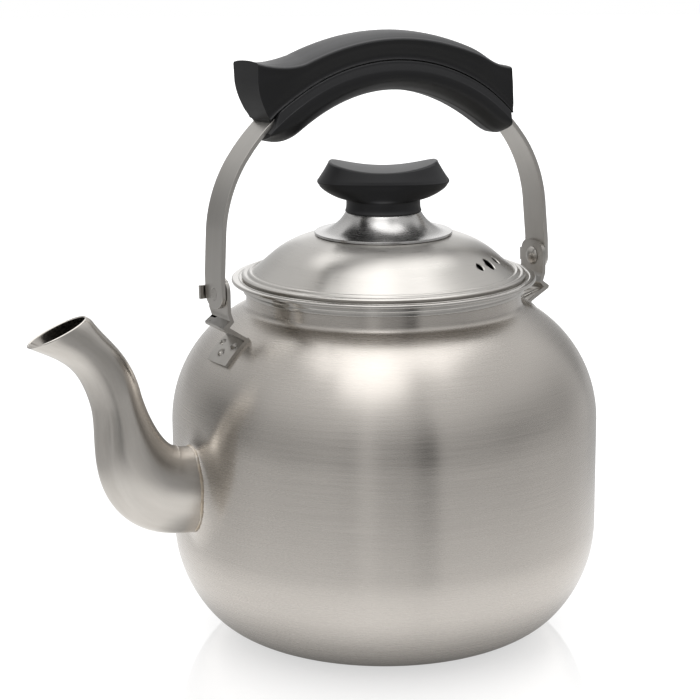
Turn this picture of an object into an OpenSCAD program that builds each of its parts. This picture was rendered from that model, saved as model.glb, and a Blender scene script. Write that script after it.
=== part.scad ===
// Stovetop kettle with a lift-off lid, an S-shaped spout and a bail that swings to the front.
// The origin is on the body's axis at the base. The spout points to -X, the bail's pivots are on +-X.

/* [Body] */
// Largest radius of the body
body_r = 95; // [80:1:120]
// Thickness of the steel sheet of the body, neck and spout
sheet_t = 1; // [0.8:0.1:1.5]
// Width of the round edge between wall and base
corner_w = 40; // [38:1:46]
// Height of that round edge
corner_h = 49; // [44:0.1:54]
// Radius of its lower part, the upper part is larger
corner_low_r = 35; // [30:1:37]
// Radius of the shoulder's curve
shoulder_r = 56; // [50:1:60]
// Height at which the straight wall turns into the shoulder
shoulder_z = 96; // [90:1:105]
// Outer radius of the neck
neck_r = 61; // [58:1:64]
// Radius of the hollow curve from shoulder to neck
neck_fillet_r = 3.5; // [2:0.5:5]
// Height of the neck above the middle of that curve
neck_h = 8.74; // [7:0.01:12]

/* [Mouth ring] */
// Overhang of the flange round the mouth beyond the neck
flange_out = 6.3; // [5:0.1:9]
// Thickness of the flange
flange_t = 1.6; // [1.2:0.1:2]
// Distance of the mouth's edge inwards from the outside of the neck
mouth_in = 2.8; // [1.2:0.1:4]
// Height of the collar below the flange
collar_h = 4.6; // [3:0.1:6]
// Thickness of the collar
collar_t = 1.3; // [0.8:0.1:1.5]

/* [Spout] */
// Distance of the spout's weld seam from the body's wall
seam_out = 2.5; // [1.5:0.5:5]
// Height of the seam's middle
seam_z = 77.1; // [74:0.1:80]
// Half height of the spout at the seam
seam_half_h = 19.1; // [16:0.1:20]
// Half width of the spout at the seam
seam_half_w = 10.6; // [9:0.1:13]
// Distance of the spout's waist from the body's wall
waist_out = 36.5; // [32:0.1:41]
// Height of the spout's waist
waist_z = 121.8; // [116:0.1:126]
// Outward lean of the spout at its waist in degrees
waist_lean = 13.8; // [8:0.1:20]
// Half depth of the spout at its waist, in the plane of its bend
waist_half_d = 11; // [9:0.1:13]
// Half width of the spout at its waist
waist_half_w = 9.2; // [7.5:0.1:11]
// Half depth of the spout's throat, where it widens into the mouth
throat_half_d = 7.8; // [7:0.1:9]
// Distance of the mouth's middle from the body's wall
lip_out = 61.4; // [57:0.1:65]
// Height of the mouth's middle
lip_z = 152.9; // [148:0.1:157]
// Half length of the mouth from the pouring lip to the back edge
lip_half_l = 13.9; // [12:0.1:15]
// Half width of the mouth
lip_half_w = 7.4; // [6.5:0.1:8.5]
// Slope of the mouth's plane in degrees
lip_slope = 21.3; // [15:0.1:28]

/* [Bail] */
// Height of the bail's pivots above the end of the neck
pivot_up = 2.2; // [0:0.1:5]
// Width of the flat steel strap
strap_w = 15.5; // [14:0.5:18]
// Thickness of the strap
strap_t = 2; // [1.5:0.1:2.5]
// Distance of the strap's legs at the pivots from the body's wall, inwards
leg_in = 10.3; // [8:0.1:12]
// Half angle of the strap's arch under the grip
arch_a = 52; // [48:1:56]
// Outer radius of the bends into the legs
bend_r = 60; // [55:1:65]
// Angle to which the bends turn, so that the legs splay out by the rest of 90 degrees
leg_a = 86; // [84:1:88]
// Height of the arch's outer face above the pivots
arch_h = 92.8; // [90:0.1:96]
// Angle past upright at which the bail rests on its stops
lean = 2; // [1.5:0.5:4]

/* [Grip] */
// Length of the grip's upper half from the middle to its spout end
grip_spout_l = 65.6; // [60:0.1:68]
// Length of the grip's upper half from the middle to its rear end
grip_rear_l = 64.8; // [60:0.1:68]
// Set-back of the foot of the spout end face
end_back = 8; // [2:0.5:10]
// Half width of the grip at its top edges
ridge_half_w = 12.4; // [11:0.1:14]
// Half width of the grip in the groove at the parting line
part_half_w = 10.3; // [9.5:0.1:11]
// Half width of the narrow flat underside
under_half_w = 3.6; // [2:0.1:6]
// Height of the top edges above the strap's arch
ridge_up = 11; // [9:0.1:14]
// Rise of the crowned top between its edges
crown = 3.2; // [1:0.1:4]
// Fall of the top edges 57 mm away from their highest point
ridge_fall = 14.8; // [12:0.1:17]
// Rise of the wing at the spout end
wing = 11.5; // [6:0.5:13]
// Depth of the underside below the outer face of the strap's arch
under_down = 11.9; // [9:0.1:14]
// Fall of the underside 57 mm away from its highest point
under_fall = 24.6; // [20:0.1:27]

/* [Ears] */
// Width of the ears that carry the bail
ear_w = 17; // [16:0.5:20]
// Thickness of the ears
ear_t = 1.6; // [1.2:0.1:2]
// Running gap between an ear and the strap
ear_gap = 0.1; // [0.05:0.05:0.3]
// Radius of the pivot rivets
rivet_r = 2.5; // [2:0.25:3]
// Radius of the formed rivet heads
rivet_head_r = 4.3; // [3.5:0.1:5]
// Running clearance of a rivet in its ear, on the radius
rivet_clear = 0.05; // [0.02:0.01:0.1]

/* [Lid] */
// Radius of the curve of the lid's top
lid_top_r = 121; // [105:1:140]
// Radius of the tighter curve round the top
lid_bend_r = 38; // [30:1:45]
// Distance from the axis at which that curve begins
lid_bend_x = 36.8; // [34:0.1:38]
// Slope of the cone below it in degrees
lid_cone_a = 41; // [38:1:43]
// Distance of the line where the cone meets the rim, inwards from the centring ring
lid_cone_in = 0.2; // [0:0.1:1]
// Height of that line above the mouth ring
lid_cone_up = 3.28; // [2.8:0.01:5]
// Width of the lid's rim outside that line
lid_rim_w = 5.9; // [5:0.1:6.5]
// Thickness of the lid's sheet
lid_t = 0.8; // [0.6:0.1:1.2]
// Gap between the lid's rim and the flange
lid_gap = 0.05; // [0.03:0.01:0.1]
// Play of the ring that centres the lid in the mouth, on the radius
lid_play = 1; // [0.6:0.1:2.2]
// Depth to which that ring reaches below the top of the mouth ring
lid_ring_depth = 9.1; // [6:0.1:12]
// Turn of the lid about its axis in degrees, as it is put on
lid_turn = -32; // [-180:1:180]
// Angle from the knob's long axis to the steam vents
vent_a = -26; // [-90:1:90]
// Distance of the steam vents inwards from the foot of the cone
vent_in = 6.4; // [5:0.1:8]

/* [Knob] */
// Radius of the steel seat under the knob
seat_r = 30.4; // [28:0.1:33]
// Radius of the top of the seat
seat_top_r = 16.6; // [16.4:0.1:17.5]
// Height of the seat above its rim
seat_h = 9.79; // [8:0.01:13]
// Half length of the knob at its ridge
knob_half_l = 29; // [26:0.5:32]
// Half depth of the knob at its ridge
knob_half_d = 15.8; // [14:0.1:18]
// Height of the knob from its seat to its upper ends
knob_h = 22.4; // [20:0.1:25]
// Depth of the saddle in the knob's top
saddle_h = 3.8; // [2:0.1:5]

/* [Hidden] */

$fn = 96;
steel = [0.74, 0.73, 0.71];
dark_steel = [0.52, 0.51, 0.5];
brass = [0.72, 0.6, 0.33];
black = [0.09, 0.09, 0.1];
cut = 1;            // overrun of cutting shapes
far = 200;          // size that reaches past the whole object
seat_gap = 0.02;    // play between pieces that are pressed or screwed together
spout_n = 36;       // points round the spout
spout_rings = 30;   // rings along the spout
grip_rings = 44;    // rings along the grip
knob_n = 48;        // points round the knob

// body
corner_high_r = (corner_w * corner_w + pow(corner_h - corner_low_r, 2) - pow(corner_low_r, 2))
    / (2 * (corner_w - corner_low_r));
corner_a = atan2(corner_low_r - corner_h, corner_high_r - corner_w);
neck_c = [neck_r + neck_fillet_r,
    shoulder_z + sqrt(pow(shoulder_r + neck_fillet_r, 2)
        - pow(neck_r + neck_fillet_r - body_r + shoulder_r, 2))];
shoulder_c = [body_r - shoulder_r, shoulder_z];
neck_top_z = neck_c[1] + neck_h;
seam_x = body_r + seam_out;
waist_x = body_r + waist_out;
lip_x = body_r + lip_out;

// mouth ring and lid: radii, then heights
flange_r = neck_r + flange_out;
mouth_r = neck_r - mouth_in;
lid_ring_r = mouth_r - lid_play;
lid_cone_r = lid_ring_r - lid_cone_in;
lid_r = lid_cone_r + lid_rim_w;
vent_r = lid_cone_r - vent_in;
flange_z = neck_top_z + seat_gap;
flange_top_z = flange_z + flange_t;
lid_rim_z = flange_top_z + lid_gap;
lid_cone_z = flange_top_z + lid_cone_up;
lid_ring_z = flange_top_z - lid_ring_depth;
lid_bend_a = asin(lid_bend_x / lid_top_r);
lid_bend_c = [lid_bend_x - lid_bend_r * sin(lid_bend_a),
    lid_cone_z + (lid_cone_r - lid_bend_x + lid_bend_r * (sin(lid_bend_a) - sin(lid_cone_a)))
        * tan(lid_cone_a) - lid_bend_r * cos(lid_cone_a)];
lid_top_c = [0, lid_bend_c[1] - (lid_top_r - lid_bend_r) * cos(lid_bend_a)];
lid_top_z = lid_top_c[1] + lid_top_r;
// The seat's rim stands on the lid's curve with its inner edge
seat_rim_z = lid_top_c[1] + sqrt(lid_top_r * lid_top_r - pow(seat_r - lid_t, 2)) + seat_gap;
seat_top_z = seat_rim_z + seat_h;

// bail, in the plane of the upright bail
pivot_z = neck_top_z + pivot_up;
leg_h = 8.3;        // the splayed legs turn upright this far above the pivots
leg_z = pivot_z + leg_h;
leg_x = body_r - leg_in;
// The arch's outer radius is the one at which the bends and legs lead down to leg_x
arch_r = (leg_x + bend_r * (sin(arch_a) - sin(leg_a))
    - (arch_h - leg_h - bend_r * (cos(arch_a) - cos(leg_a))) / tan(leg_a))
    / (sin(arch_a) - (1 - cos(arch_a)) / tan(leg_a));
arch_top_z = pivot_z + arch_h;
arch_c = arch_top_z - arch_r;
bend_c = [(arch_r - bend_r) * sin(arch_a), arch_c + (arch_r - bend_r) * cos(arch_a)];
strap_in_x = leg_x - strap_t;
ear_out_x = strap_in_x - ear_gap;
ear_in_x = ear_out_x - ear_t;
stop_gap = 0.05;
part_gap = 0.04;    // half gap between the grip's two halves
slot_clear = 0.12;  // clearance of the strap in its slot in the grip

function mix(a, b, t) = a + (b - a) * t;
function smooth(t) = let (c = min(max(t, 0), 1)) c * c * (3 - 2 * c);
function bezier(p, t) = pow(1 - t, 3) * p[0] + 3 * t * pow(1 - t, 2) * p[1]
    + 3 * t * t * (1 - t) * p[2] + pow(t, 3) * p[3];
function bezier_slope(p, t) = pow(1 - t, 2) * (p[1] - p[0]) + 2 * t * (1 - t) * (p[2] - p[1])
    + t * t * (p[3] - p[2]);
// Oval outline with half axes a and b, between an ellipse (e = 1) and a rectangle (e = 0)
function oval(a, b, n, e = 1) = [for (i = [0:n - 1]) let (w = 360 * i / n)
    [a * sign(cos(w)) * pow(abs(cos(w)), e), b * sign(sin(w)) * pow(abs(sin(w)), e)]];
// Triangles that join rings of n points, each ring starting at point r * n
function skin(rings, n) = [for (r = [0:rings - 2], i = [0:n - 1])
    let (a = r * n + i, b = r * n + (i + 1) % n)
    each [[a, b + n, b], [a, a + n, b + n]]];

// ---------- body ----------

// Points of an arc about c from angle a0 to a1, in n steps
function arc(c, r, a0, a1, n) = [for (i = [0:n]) let (a = mix(a0, a1, i / n)) c + r * [cos(a), sin(a)]];
// Line of the body's section from the base to the neck's end, moved in by t from the outer face
neck_a = acos((neck_c[0] - shoulder_c[0]) / (shoulder_r + neck_fillet_r));
function body_line(t, top) = concat(
    arc([body_r - corner_w, corner_low_r], corner_low_r - t, -90, corner_a, 9),
    arc([body_r - corner_high_r, corner_h], corner_high_r - t, corner_a, 0, 9),
    arc(shoulder_c, shoulder_r - t, 0, neck_a, 16),
    arc(neck_c, neck_fillet_r + t, neck_a - 180, -180, 6),
    [[neck_r - t, top]]);
module body_form(t, top) {
    rotate_extrude()
        polygon(concat([[0, top], [0, t]], body_line(t, top)));
}

// Oval bar through the wall on the spout's side, from x0 to x1 outwards, its outline t inside the
// spout's outer face
module spout_bar(x0, x1, t) {
    translate([-x0, 0, seam_z])
        rotate([0, -90, 0])
            linear_extrude(x1 - x0)
                polygon(oval(seam_half_h - t, seam_half_w - t, spout_n));
}

module body_shell() {
    color(steel)
        difference() {
            union() {
                body_form(0, neck_top_z);
                spout_bar(body_r - 6, seam_x, 0);
            }
            body_form(sheet_t, neck_top_z + cut);
            spout_bar(body_r - 12, seam_x + cut, sheet_t);
        }
}

// Flange with a collar that grips the outside of the neck
module mouth_ring() {
    bevel = 0.5;
    color(steel)
        rotate_extrude()
            polygon([[mouth_r, flange_z], [mouth_r, flange_top_z], [flange_r - bevel, flange_top_z],
                [flange_r, flange_top_z - bevel], [flange_r, flange_z + bevel],
                [flange_r - bevel, flange_z], [neck_r + collar_t, flange_z],
                [neck_r + collar_t, flange_z - collar_h + bevel],
                [neck_r + collar_t - bevel, flange_z - collar_h],
                [neck_r + seat_gap, flange_z - collar_h], [neck_r + seat_gap, flange_z]]);
}

// ---------- spout ----------

seam_p = [-seam_x, seam_z];
waist_p = [-waist_x, waist_z];
lip_p = [-lip_x, lip_z];
// The lower bend leaves the seam level and leans out at the waist, the upper one turns on to
// the mouth
waist_dir = [-sin(waist_lean), cos(waist_lean)];
lip_dir = [-cos(25), sin(25)];
spout_low = [seam_p, seam_p + [-28.6, 0.7], waist_p - 21.3 * waist_dir, waist_p];
spout_high = [waist_p, waist_p + 19.5 * waist_dir, lip_p - 6 * lip_dir, lip_p];

// Middle, direction and half axes of the spout at u from 0 at the seam to 1 at the mouth
function spout_mid(u) = u < 0.5 ? bezier(spout_low, 2 * u) : bezier(spout_high, 2 * u - 1);
function spout_dir(u) = let (s = u < 0.5 ? bezier_slope(spout_low, 2 * u)
    : bezier_slope(spout_high, 2 * u - 1)) atan2(s[1], s[0]);
function spout_half_d(u) = u < 0.5 ? mix(seam_half_h, waist_half_d, smooth(pow(2 * u, 1.55)))
    : mix(waist_half_d, throat_half_d, smooth(2 * u - 1));
function spout_half_w(u) = u < 0.5 ? mix(seam_half_w, waist_half_w, smooth(2 * u))
    : mix(waist_half_w, lip_half_w, smooth(2 * u - 1));
// The first ring stands in the seam's plane, and near the mouth the rings turn from square to
// the path into the mouth's slanted plane
function ring_turn(u) = smooth((u - 0.62) / 0.38);
function ring_angle(u) = mix(mix(90, spout_dir(u) - 90, smooth(u / 0.12)), lip_slope, ring_turn(u));
function ring_half(u) = mix(spout_half_d(u), lip_half_l, ring_turn(u) * smooth((u - 0.5) / 0.5));

function spout_ring(u, t) = let (m = spout_mid(u), w = ring_angle(u),
        o = oval(ring_half(u) - t, spout_half_w(u) - t, spout_n))
    [for (p = o) [m[0] + p[0] * cos(w), p[1], m[1] + p[0] * sin(w)]];

module spout() {
    outer = [for (i = [0:spout_rings]) spout_ring(i / spout_rings, 0)];
    inner = [for (i = [spout_rings:-1:0]) spout_ring(i / spout_rings, sheet_t)];
    rings = concat(outer, inner);
    count = len(rings);
    back = [for (i = [0:spout_n - 1]) let (a = (count - 1) * spout_n + i, b = i,
            c = (i + 1) % spout_n, d = (count - 1) * spout_n + (i + 1) % spout_n)
        each [[a, c, d], [a, b, c]]];
    color(steel)
        polyhedron([for (r = rings) each r], concat(skin(count, spout_n), back), convexity = 6);
}

// Flat weld bead round the seam
module spout_weld() {
    color(steel)
        difference() {
            spout_bar(seam_x - 1.2, seam_x + 1.2, -0.55);
            spout_bar(seam_x - 2, seam_x + 2, -0.12);
        }
}

// ---------- ears and rivets ----------

// Bar along X from x0 to x1. Its section has the width w and the length l, and its end at the
// pivot is rounded over the height h: e = 1 is half an ellipse, less is squarer, s = 1 points up.
module round_bar(x0, x1, w, l, h, e, s) {
    n = 32;
    translate([x0, 0, pivot_z])
        rotate([90, 0, 90])
            linear_extrude(x1 - x0)
                polygon(concat([for (i = [0:n]) let (a = 180 * i / n)
                        [w / 2 * sign(cos(a)) * pow(abs(cos(a)), e), s * h * pow(sin(a), e)]],
                    [[-w / 2, -s * l], [w / 2, -s * l]]));
}

foot_top_r = body_r - 21.5;   // radius at which the foot starts on the shoulder
foot_end_r = body_r - 10.3;   // radius at which it ends
foot_corner_r = 3;            // rounding of its corners
ledge_x = foot_end_r + 0.1;   // outermost line of the ear's fold
foot_gap = 0.03;
foot_out_r = shoulder_r + foot_gap + ear_t;
function foot_ray(r) = [r - shoulder_c[0], sqrt(pow(foot_out_r, 2) - pow(r - shoulder_c[0], 2))] * 2;
// Height of the shoulder at radius r
function shoulder_h(r) = shoulder_z + sqrt(pow(shoulder_r, 2) - pow(r - shoulder_c[0], 2));

// One ear on the +X side: a flat head, a fold outwards, and a foot that lies on the shoulder
module ear() {
    fold = [[ear_in_x, pivot_z + far], [ear_out_x, pivot_z + far],
        [ear_out_x, pivot_z - 7], [ear_out_x - 1.2, pivot_z - 10.6], [ledge_x, pivot_z - 13.1],
        [ledge_x - 0.3, pivot_z - 14.3],
        [foot_top_r + 1.9, shoulder_h(foot_top_r) + 1.3],
        [foot_top_r + 0.7, shoulder_h(foot_top_r) + 0.1],
        [foot_top_r - 0.6, shoulder_h(foot_top_r) + 1.3],
        [ledge_x - 3, pivot_z - 13.4], [ear_in_x - 1.4, pivot_z - 11.2], [ear_in_x, pivot_z - 7]];
    tab_h = 2.9;
    foot_x = shoulder_c[0] + foot_out_r * (foot_end_r - shoulder_c[0]) / shoulder_r;
    tab_x1 = leg_x + 2.2;
    tab_y = strap_w / 2 + stop_gap;
    color(dark_steel)
        difference() {
            union() {
                intersection() {
                    rotate([90, 0, 0])
                        translate([0, 0, -ear_w / 2])
                            linear_extrude(ear_w)
                                polygon(fold);
                    round_bar(ear_in_x - 16, ledge_x + cut, ear_w, 60, 7.4, 0.7, 1);
                }
                // foot
                intersection() {
                    rotate_extrude()
                        translate(shoulder_c)
                            intersection() {
                                difference() {
                                    circle(foot_out_r);
                                    circle(foot_out_r - ear_t);
                                }
                                polygon([[0, 0], foot_ray(foot_top_r), foot_ray(foot_end_r)]);
                            }
                    translate([0, 0, shoulder_z])
                        linear_extrude(shoulder_r)
                            polygon(concat([[0, -ear_w / 2]],
                                arc([foot_x, foot_corner_r - ear_w / 2] - [foot_corner_r, 0],
                                    foot_corner_r, -90, 0, 8),
                                arc([foot_x, ear_w / 2 - foot_corner_r] - [foot_corner_r, 0],
                                    foot_corner_r, 0, 90, 8),
                                [[0, ear_w / 2]]));
                }
                // stop for the bail: the head's edge folded outwards
                translate([0, 0, pivot_z])
                    rotate([-lean, 0, 0]) {
                        translate([ear_in_x, tab_y, -tab_h])
                            cube([tab_x1 - ear_in_x, ear_t, 2 * tab_h]);
                        translate([ear_in_x, tab_y - 4, -tab_h])
                            cube([ear_t, 5, 2 * tab_h]);
                    }
            }
            // hole for the rivet
            translate([ear_in_x - cut, 0, pivot_z])
                rotate([0, 90, 0])
                    cylinder(h = ear_t + 2 * cut, r = rivet_r + rivet_clear);
            // dimples of the spot welds
            for (p = [[foot_end_r - 5.8, -4.8], [foot_end_r - 5.8, 5.2], [foot_end_r - 2.5, 0.6]])
                translate([p[0], p[1], shoulder_h(norm(p)) + ear_t + 2.6])
                    rotate([90, 0, 0])
                        sphere(r = 2.2, $fn = 24);
        }
}

module ear_rear_side() {
    ear();
}

module ear_spout_side() {
    mirror([1, 0, 0])
        ear();
}

// A rivet is fixed flush in the strap and turns in the ear, its head is on the inner side
module pivot_rivets() {
    head_h = 2.1;
    head_x = ear_in_x - 0.1;
    ball_r = (pow(rivet_head_r, 2) + pow(head_h, 2)) / (2 * head_h);
    color(dark_steel)
        for (m = [0, 1])
            mirror([m, 0, 0])
                translate([head_x, 0, pivot_z])
                    rotate([0, 90, 0]) {
                        cylinder(h = leg_x - head_x, r = rivet_r);
                        intersection() {
                            translate([0, 0, ball_r - head_h])
                                sphere(r = ball_r, $fn = 64);
                            translate([0, 0, -head_h - cut])
                                cylinder(h = head_h + cut, r = rivet_head_r + cut);
                        }
                    }
}

// ---------- bail ----------

// Outline of the strap seen along Y: outer line with i = 0, inner line with i = 1
function strap_half(i) = let (t = i * strap_t, step = 2.5, z0 = pivot_z - strap_w)
    concat([for (a = [0:step:arch_a]) [(arch_r - t) * sin(a), arch_c + (arch_r - t) * cos(a)]],
        [for (a = [arch_a + step:step:leg_a])
            bend_c + (bend_r - t) * [sin(a), cos(a)]],
        [[leg_x - t, leg_z - t * tan((90 - leg_a) / 2)], [leg_x - t, z0]]);
function mirrored(p) = [for (i = [len(p) - 1:-1:1]) [-p[i][0], p[i][1]]];
strap_outer = strap_half(0);
strap_inner = strap_half(1);
strap_line = concat(mirrored(strap_outer), strap_outer,
    [for (i = [len(strap_inner) - 1:-1:0]) strap_inner[i]],
    [for (i = [1:len(strap_inner) - 1]) [-strap_inner[i][0], strap_inner[i][1]]]);

// Everything on the bail is built upright and then laid back against the stops
module on_bail() {
    translate([0, 0, pivot_z])
        rotate([-lean, 0, 0])
            translate([0, 0, -pivot_z])
                children();
}

module bail_strap() {
    color(steel)
        on_bail()
            difference() {
                intersection() {
                    rotate([90, 0, 0])
                        translate([0, 0, -strap_w / 2])
                            linear_extrude(strap_w)
                                polygon(strap_line);
                    round_bar(-far, far, strap_w, far, 6.4, 1, -1);
                }
                for (m = [0, 1])
                    mirror([m, 0, 0])
                        translate([strap_in_x - cut, 0, pivot_z])
                            rotate([0, 90, 0])
                                cylinder(h = strap_t + 2 * cut, r = rivet_r);
            }
}

// Heights of the grip's edges at x, the spout end being at negative x. The grip's form sits a
// little to the rear of the strap's arch.
ridge_mid = 0.3;
under_mid = 2.3;
wing_l = 22.7;      // length over which the wing rises
function sag(x, fall) = fall * pow(x / 57, 2);
function ridge_z(x) = arch_top_z + ridge_up - sag(x - ridge_mid, ridge_fall)
    + wing * pow(max(0, -x - 42) / wing_l, 1.7) + 0.017 * pow(max(0, x - 51), 2);
function under_z(x) = arch_top_z - under_down - sag(x - under_mid, under_fall)
    + 0.037 * pow(max(0, -x - 42, x - 52), 2) + 0.05 * pow(max(0, x - 57), 2);
function arc_z(x, r) = arch_c + sqrt(r * r - x * x);
// The parting line follows the strap's arch, above the strap
part_r = arch_r + 1.4;
slot_w = strap_w / 2 + slot_clear;
function near_end(x) = smooth((abs(x) - 44) / 20);
// Ends of the upper half: the spout end face is hollowed back towards its foot
function back(x, z) = let (t = min(max((z - arch_top_z + 23) / 20, 0), 1))
    near_end(x) * (x < 0 ? end_back * (1 - t) * (1 - t) : -2 * t);
function set_x(x, z, on) = on ? x + back(x, z) : x;
// Point of the arc of radius r on the ring that starts at x
function on_arc(x, r, on, k = 6, u = undef) = let (v = is_undef(u) ? x : u)
    k == 0 ? [v, arc_z(v, r)] : on_arc(x, r, on, k - 1, set_x(x, arc_z(v, r), on));

// Half section of the upper half at x: the tongue over the strap, then up the leaning side to the
// crown
function upper_half(x) = let (p = on_arc(x, part_r + part_gap, true),
        s = on_arc(x, arch_r + slot_clear, true), e = near_end(x), zr = ridge_z(x), z = p[1],
        w = part_half_w - 1.2 * e, r = ridge_half_w - 1.4 * e, c = crown * (1 - 0.75 * e),
        m = z + 3.6)
    [[s[0], strap_w / 2 - 0.3, s[1]], [p[0], strap_w / 2 - 0.3, z],
        for (q = [[w + 0.25, z + 0.3], [w - 0.1, z + 1.1], [w, z + 2.4], [w + 0.5, mix(m, zr, 0.05)],
            [mix(w, r, 0.55), mix(m, zr, 0.3)], [mix(w, r, 0.8), mix(m, zr, 0.55)],
            [r - 0.2, mix(m, zr, 0.78)], [r, zr - 1.1], [r - 0.35, zr - 0.4], [r - 1.1, zr + 0.02],
            [r - 2.4, zr + 0.28 * c], [0.62 * r, zr + 0.62 * c], [0.32 * r, zr + 0.9 * c],
            [0.02, zr + c]])
        [set_x(x, q[1], true), q[0], q[1]]];
// Half section of the lower half at x: the groove for the strap, then down to the underside. Past
// the upper half's foot on the spout's side the groove's walls run out.
function lower_half(x) = let (z = arc_z(x, part_r - part_gap), s = arc_z(x, arch_r - strap_t - slot_clear),
        e = near_end(x), zu = under_z(x), w = part_half_w - 1.2 * e, m = z - 4.4, b = under_half_w,
        o = smooth((-x - 55) / 4))
    [[x, slot_w, s], [x, slot_w, mix(z, s + 0.3, o)],
        for (q = [[w + 0.25, mix(z - 0.3, s + 0.2, o)], [w + 0.8, mix(z - 1.6, s + 0.1, o)],
            [w + 1.4, min(s - 0.05, z - 3.6)], [w + 1.6, m - 0.5], [w + 1.4, mix(m, zu, 0.3)], [w + 0.6, mix(m, zu, 0.5)],
            [mix(b, w, 0.75), mix(m, zu, 0.7)], [mix(b, w, 0.42), mix(m, zu, 0.85)],
            [b + 0.5, mix(m, zu, 0.95)], [b - 0.6, zu + 0.06], [0.02, zu]])
        [x, q[0], q[1]]];

function flip_y(p) = [p[0], -p[1], p[2]];
// Solid from a row of half sections of m points, each mirrored in y. Its ends are closed by a fan
// from point 0 to point k and by strips between mirrored points.
module grip_body(halves, k) {
    m = len(halves[0]);
    n = 2 * m;
    rings = [for (h = halves) concat(h, [for (i = [m - 1:-1:0]) flip_y(h[i])])];
    last = (len(rings) - 1) * n;
    fan = [for (i = [2:1:k]) each [[0, i, i - 1], [n - 1, n - i, n - 1 - i]]];
    strips = concat(k > 0 ? [[0, n - 1, n - 1 - k], [0, n - 1 - k, k]] : [],
        [for (i = [k:m - 2]) each [[i, n - 1 - i, n - 2 - i], [i, n - 2 - i, i + 1]]]);
    cap = concat(fan, strips);
    faces = concat(skin(len(rings), n), [for (f = cap) [f[2], f[1], f[0]]],
        [for (f = cap) f + last * [1, 1, 1]]);
    polyhedron([for (r = rings) each r], faces, convexity = 6);
}

function grip_xs(l0, l1) = [for (i = [0:grip_rings])
    let (s = sin(90 * (2 * i / grip_rings - 1))) s < 0 ? l0 * s : l1 * s];

module grip_upper() {
    color(black)
        on_bail()
            grip_body([for (x = grip_xs(grip_spout_l, grip_rear_l)) upper_half(x)], 0);
}

module grip_lower() {
    color(black)
        on_bail()
            grip_body([for (x = grip_xs(grip_spout_l - 5, grip_rear_l - 1.6))
                [for (p = lower_half(x)) flip_y(p)]], 4);
}

// ---------- lid ----------

screw_r = 2;
screw_hole_r = 2.3;

// Line of the lid's section from the axis to the rim, moved in by t from the outer face
function lid_line(t) = concat(
    [for (i = [0:7]) let (a = lid_bend_a * i / 8) lid_top_c + (lid_top_r - t) * [sin(a), cos(a)]],
    [for (i = [0:10]) let (a = mix(lid_bend_a, lid_cone_a, i / 10))
        lid_bend_c + (lid_bend_r - t) * [sin(a), cos(a)]],
    [[lid_cone_r, lid_cone_z] - t * [sin(lid_cone_a), cos(lid_cone_a)]]);

module lid_shell() {
    step_x = lid_cone_r + 2.9;
    step_z = lid_cone_z - 1.25;
    under = lid_line(lid_t);
    color(steel)
        rotate([0, 0, lid_turn])
            difference() {
                // top, step, and the rim's turned edge
                rotate_extrude()
                    polygon(concat(lid_line(0), [[step_x, step_z], [lid_r - 0.7, step_z - 0.5],
                        [lid_r, step_z - 1.1], [lid_r, lid_rim_z], [lid_r - lid_t, lid_rim_z],
                        [lid_r - lid_t - 0.1, step_z - 1.35], [step_x, step_z - lid_t]],
                        [for (i = [len(under) - 1:-1:0]) under[i]]));
                cylinder(h = far, r = screw_hole_r);
                // three lens-shaped steam vents, the middle one larger
                for (v = [[-9.3, 4.6, 1.8], [0, 7.2, 2.5], [10.4, 4.6, 1.6]])
                    rotate([0, 0, vent_a + v[0]])
                        translate([vent_r, 0, lid_cone_z + (lid_cone_r - vent_r) * tan(lid_cone_a)])
                            rotate([0, lid_cone_a, 0])
                                vent_cut(v[1] / 2, v[2]);
            }
}

// Lens of half length l and half width w, from two round bars that cross
module vent_cut(l, w) {
    bar_r = (l * l + w * w) / (2 * w);
    translate([0, 0, -4])
        intersection() {
            translate([0, bar_r - w, 0])
                cylinder(h = 8, r = bar_r);
            translate([0, w - bar_r, 0])
                cylinder(h = 8, r = bar_r);
        }
}

module lid_ring() {
    color(steel)
        difference() {
            translate([0, 0, lid_ring_z])
                cylinder(h = lid_cone_z - 1 - lid_ring_z, r = lid_ring_r);
            translate([0, 0, lid_ring_z - cut])
                cylinder(h = far, r = lid_ring_r - lid_t);
        }
}

// Flared steel seat between lid and knob, its hollow curve ends level at the rim
seat_edge_z = seat_rim_z + lid_t + 0.6;
seat_run = seat_r + 0.1 - seat_top_r;
seat_rise = seat_top_z - seat_edge_z;
seat_curve_r = (seat_run * seat_run + seat_rise * seat_rise) / (2 * seat_rise);

module seat_section(t) {
    difference() {
        translate([0, seat_rim_z - (t > 0 ? cut : 0)])
            square([seat_r - t, seat_top_z - seat_rim_z - t + (t > 0 ? cut : 0)]);
        translate([seat_r + 0.1, seat_edge_z + seat_curve_r])
            circle(seat_curve_r + t);
    }
}

module knob_seat() {
    color(steel)
        difference() {
            rotate_extrude()
                difference() {
                    seat_section(0);
                    seat_section(lid_t);
                }
            cylinder(h = far, r = screw_hole_r);
        }
}

insert_r = 3.6;
insert_h = 11;
knob_z = seat_top_z + seat_gap;
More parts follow.
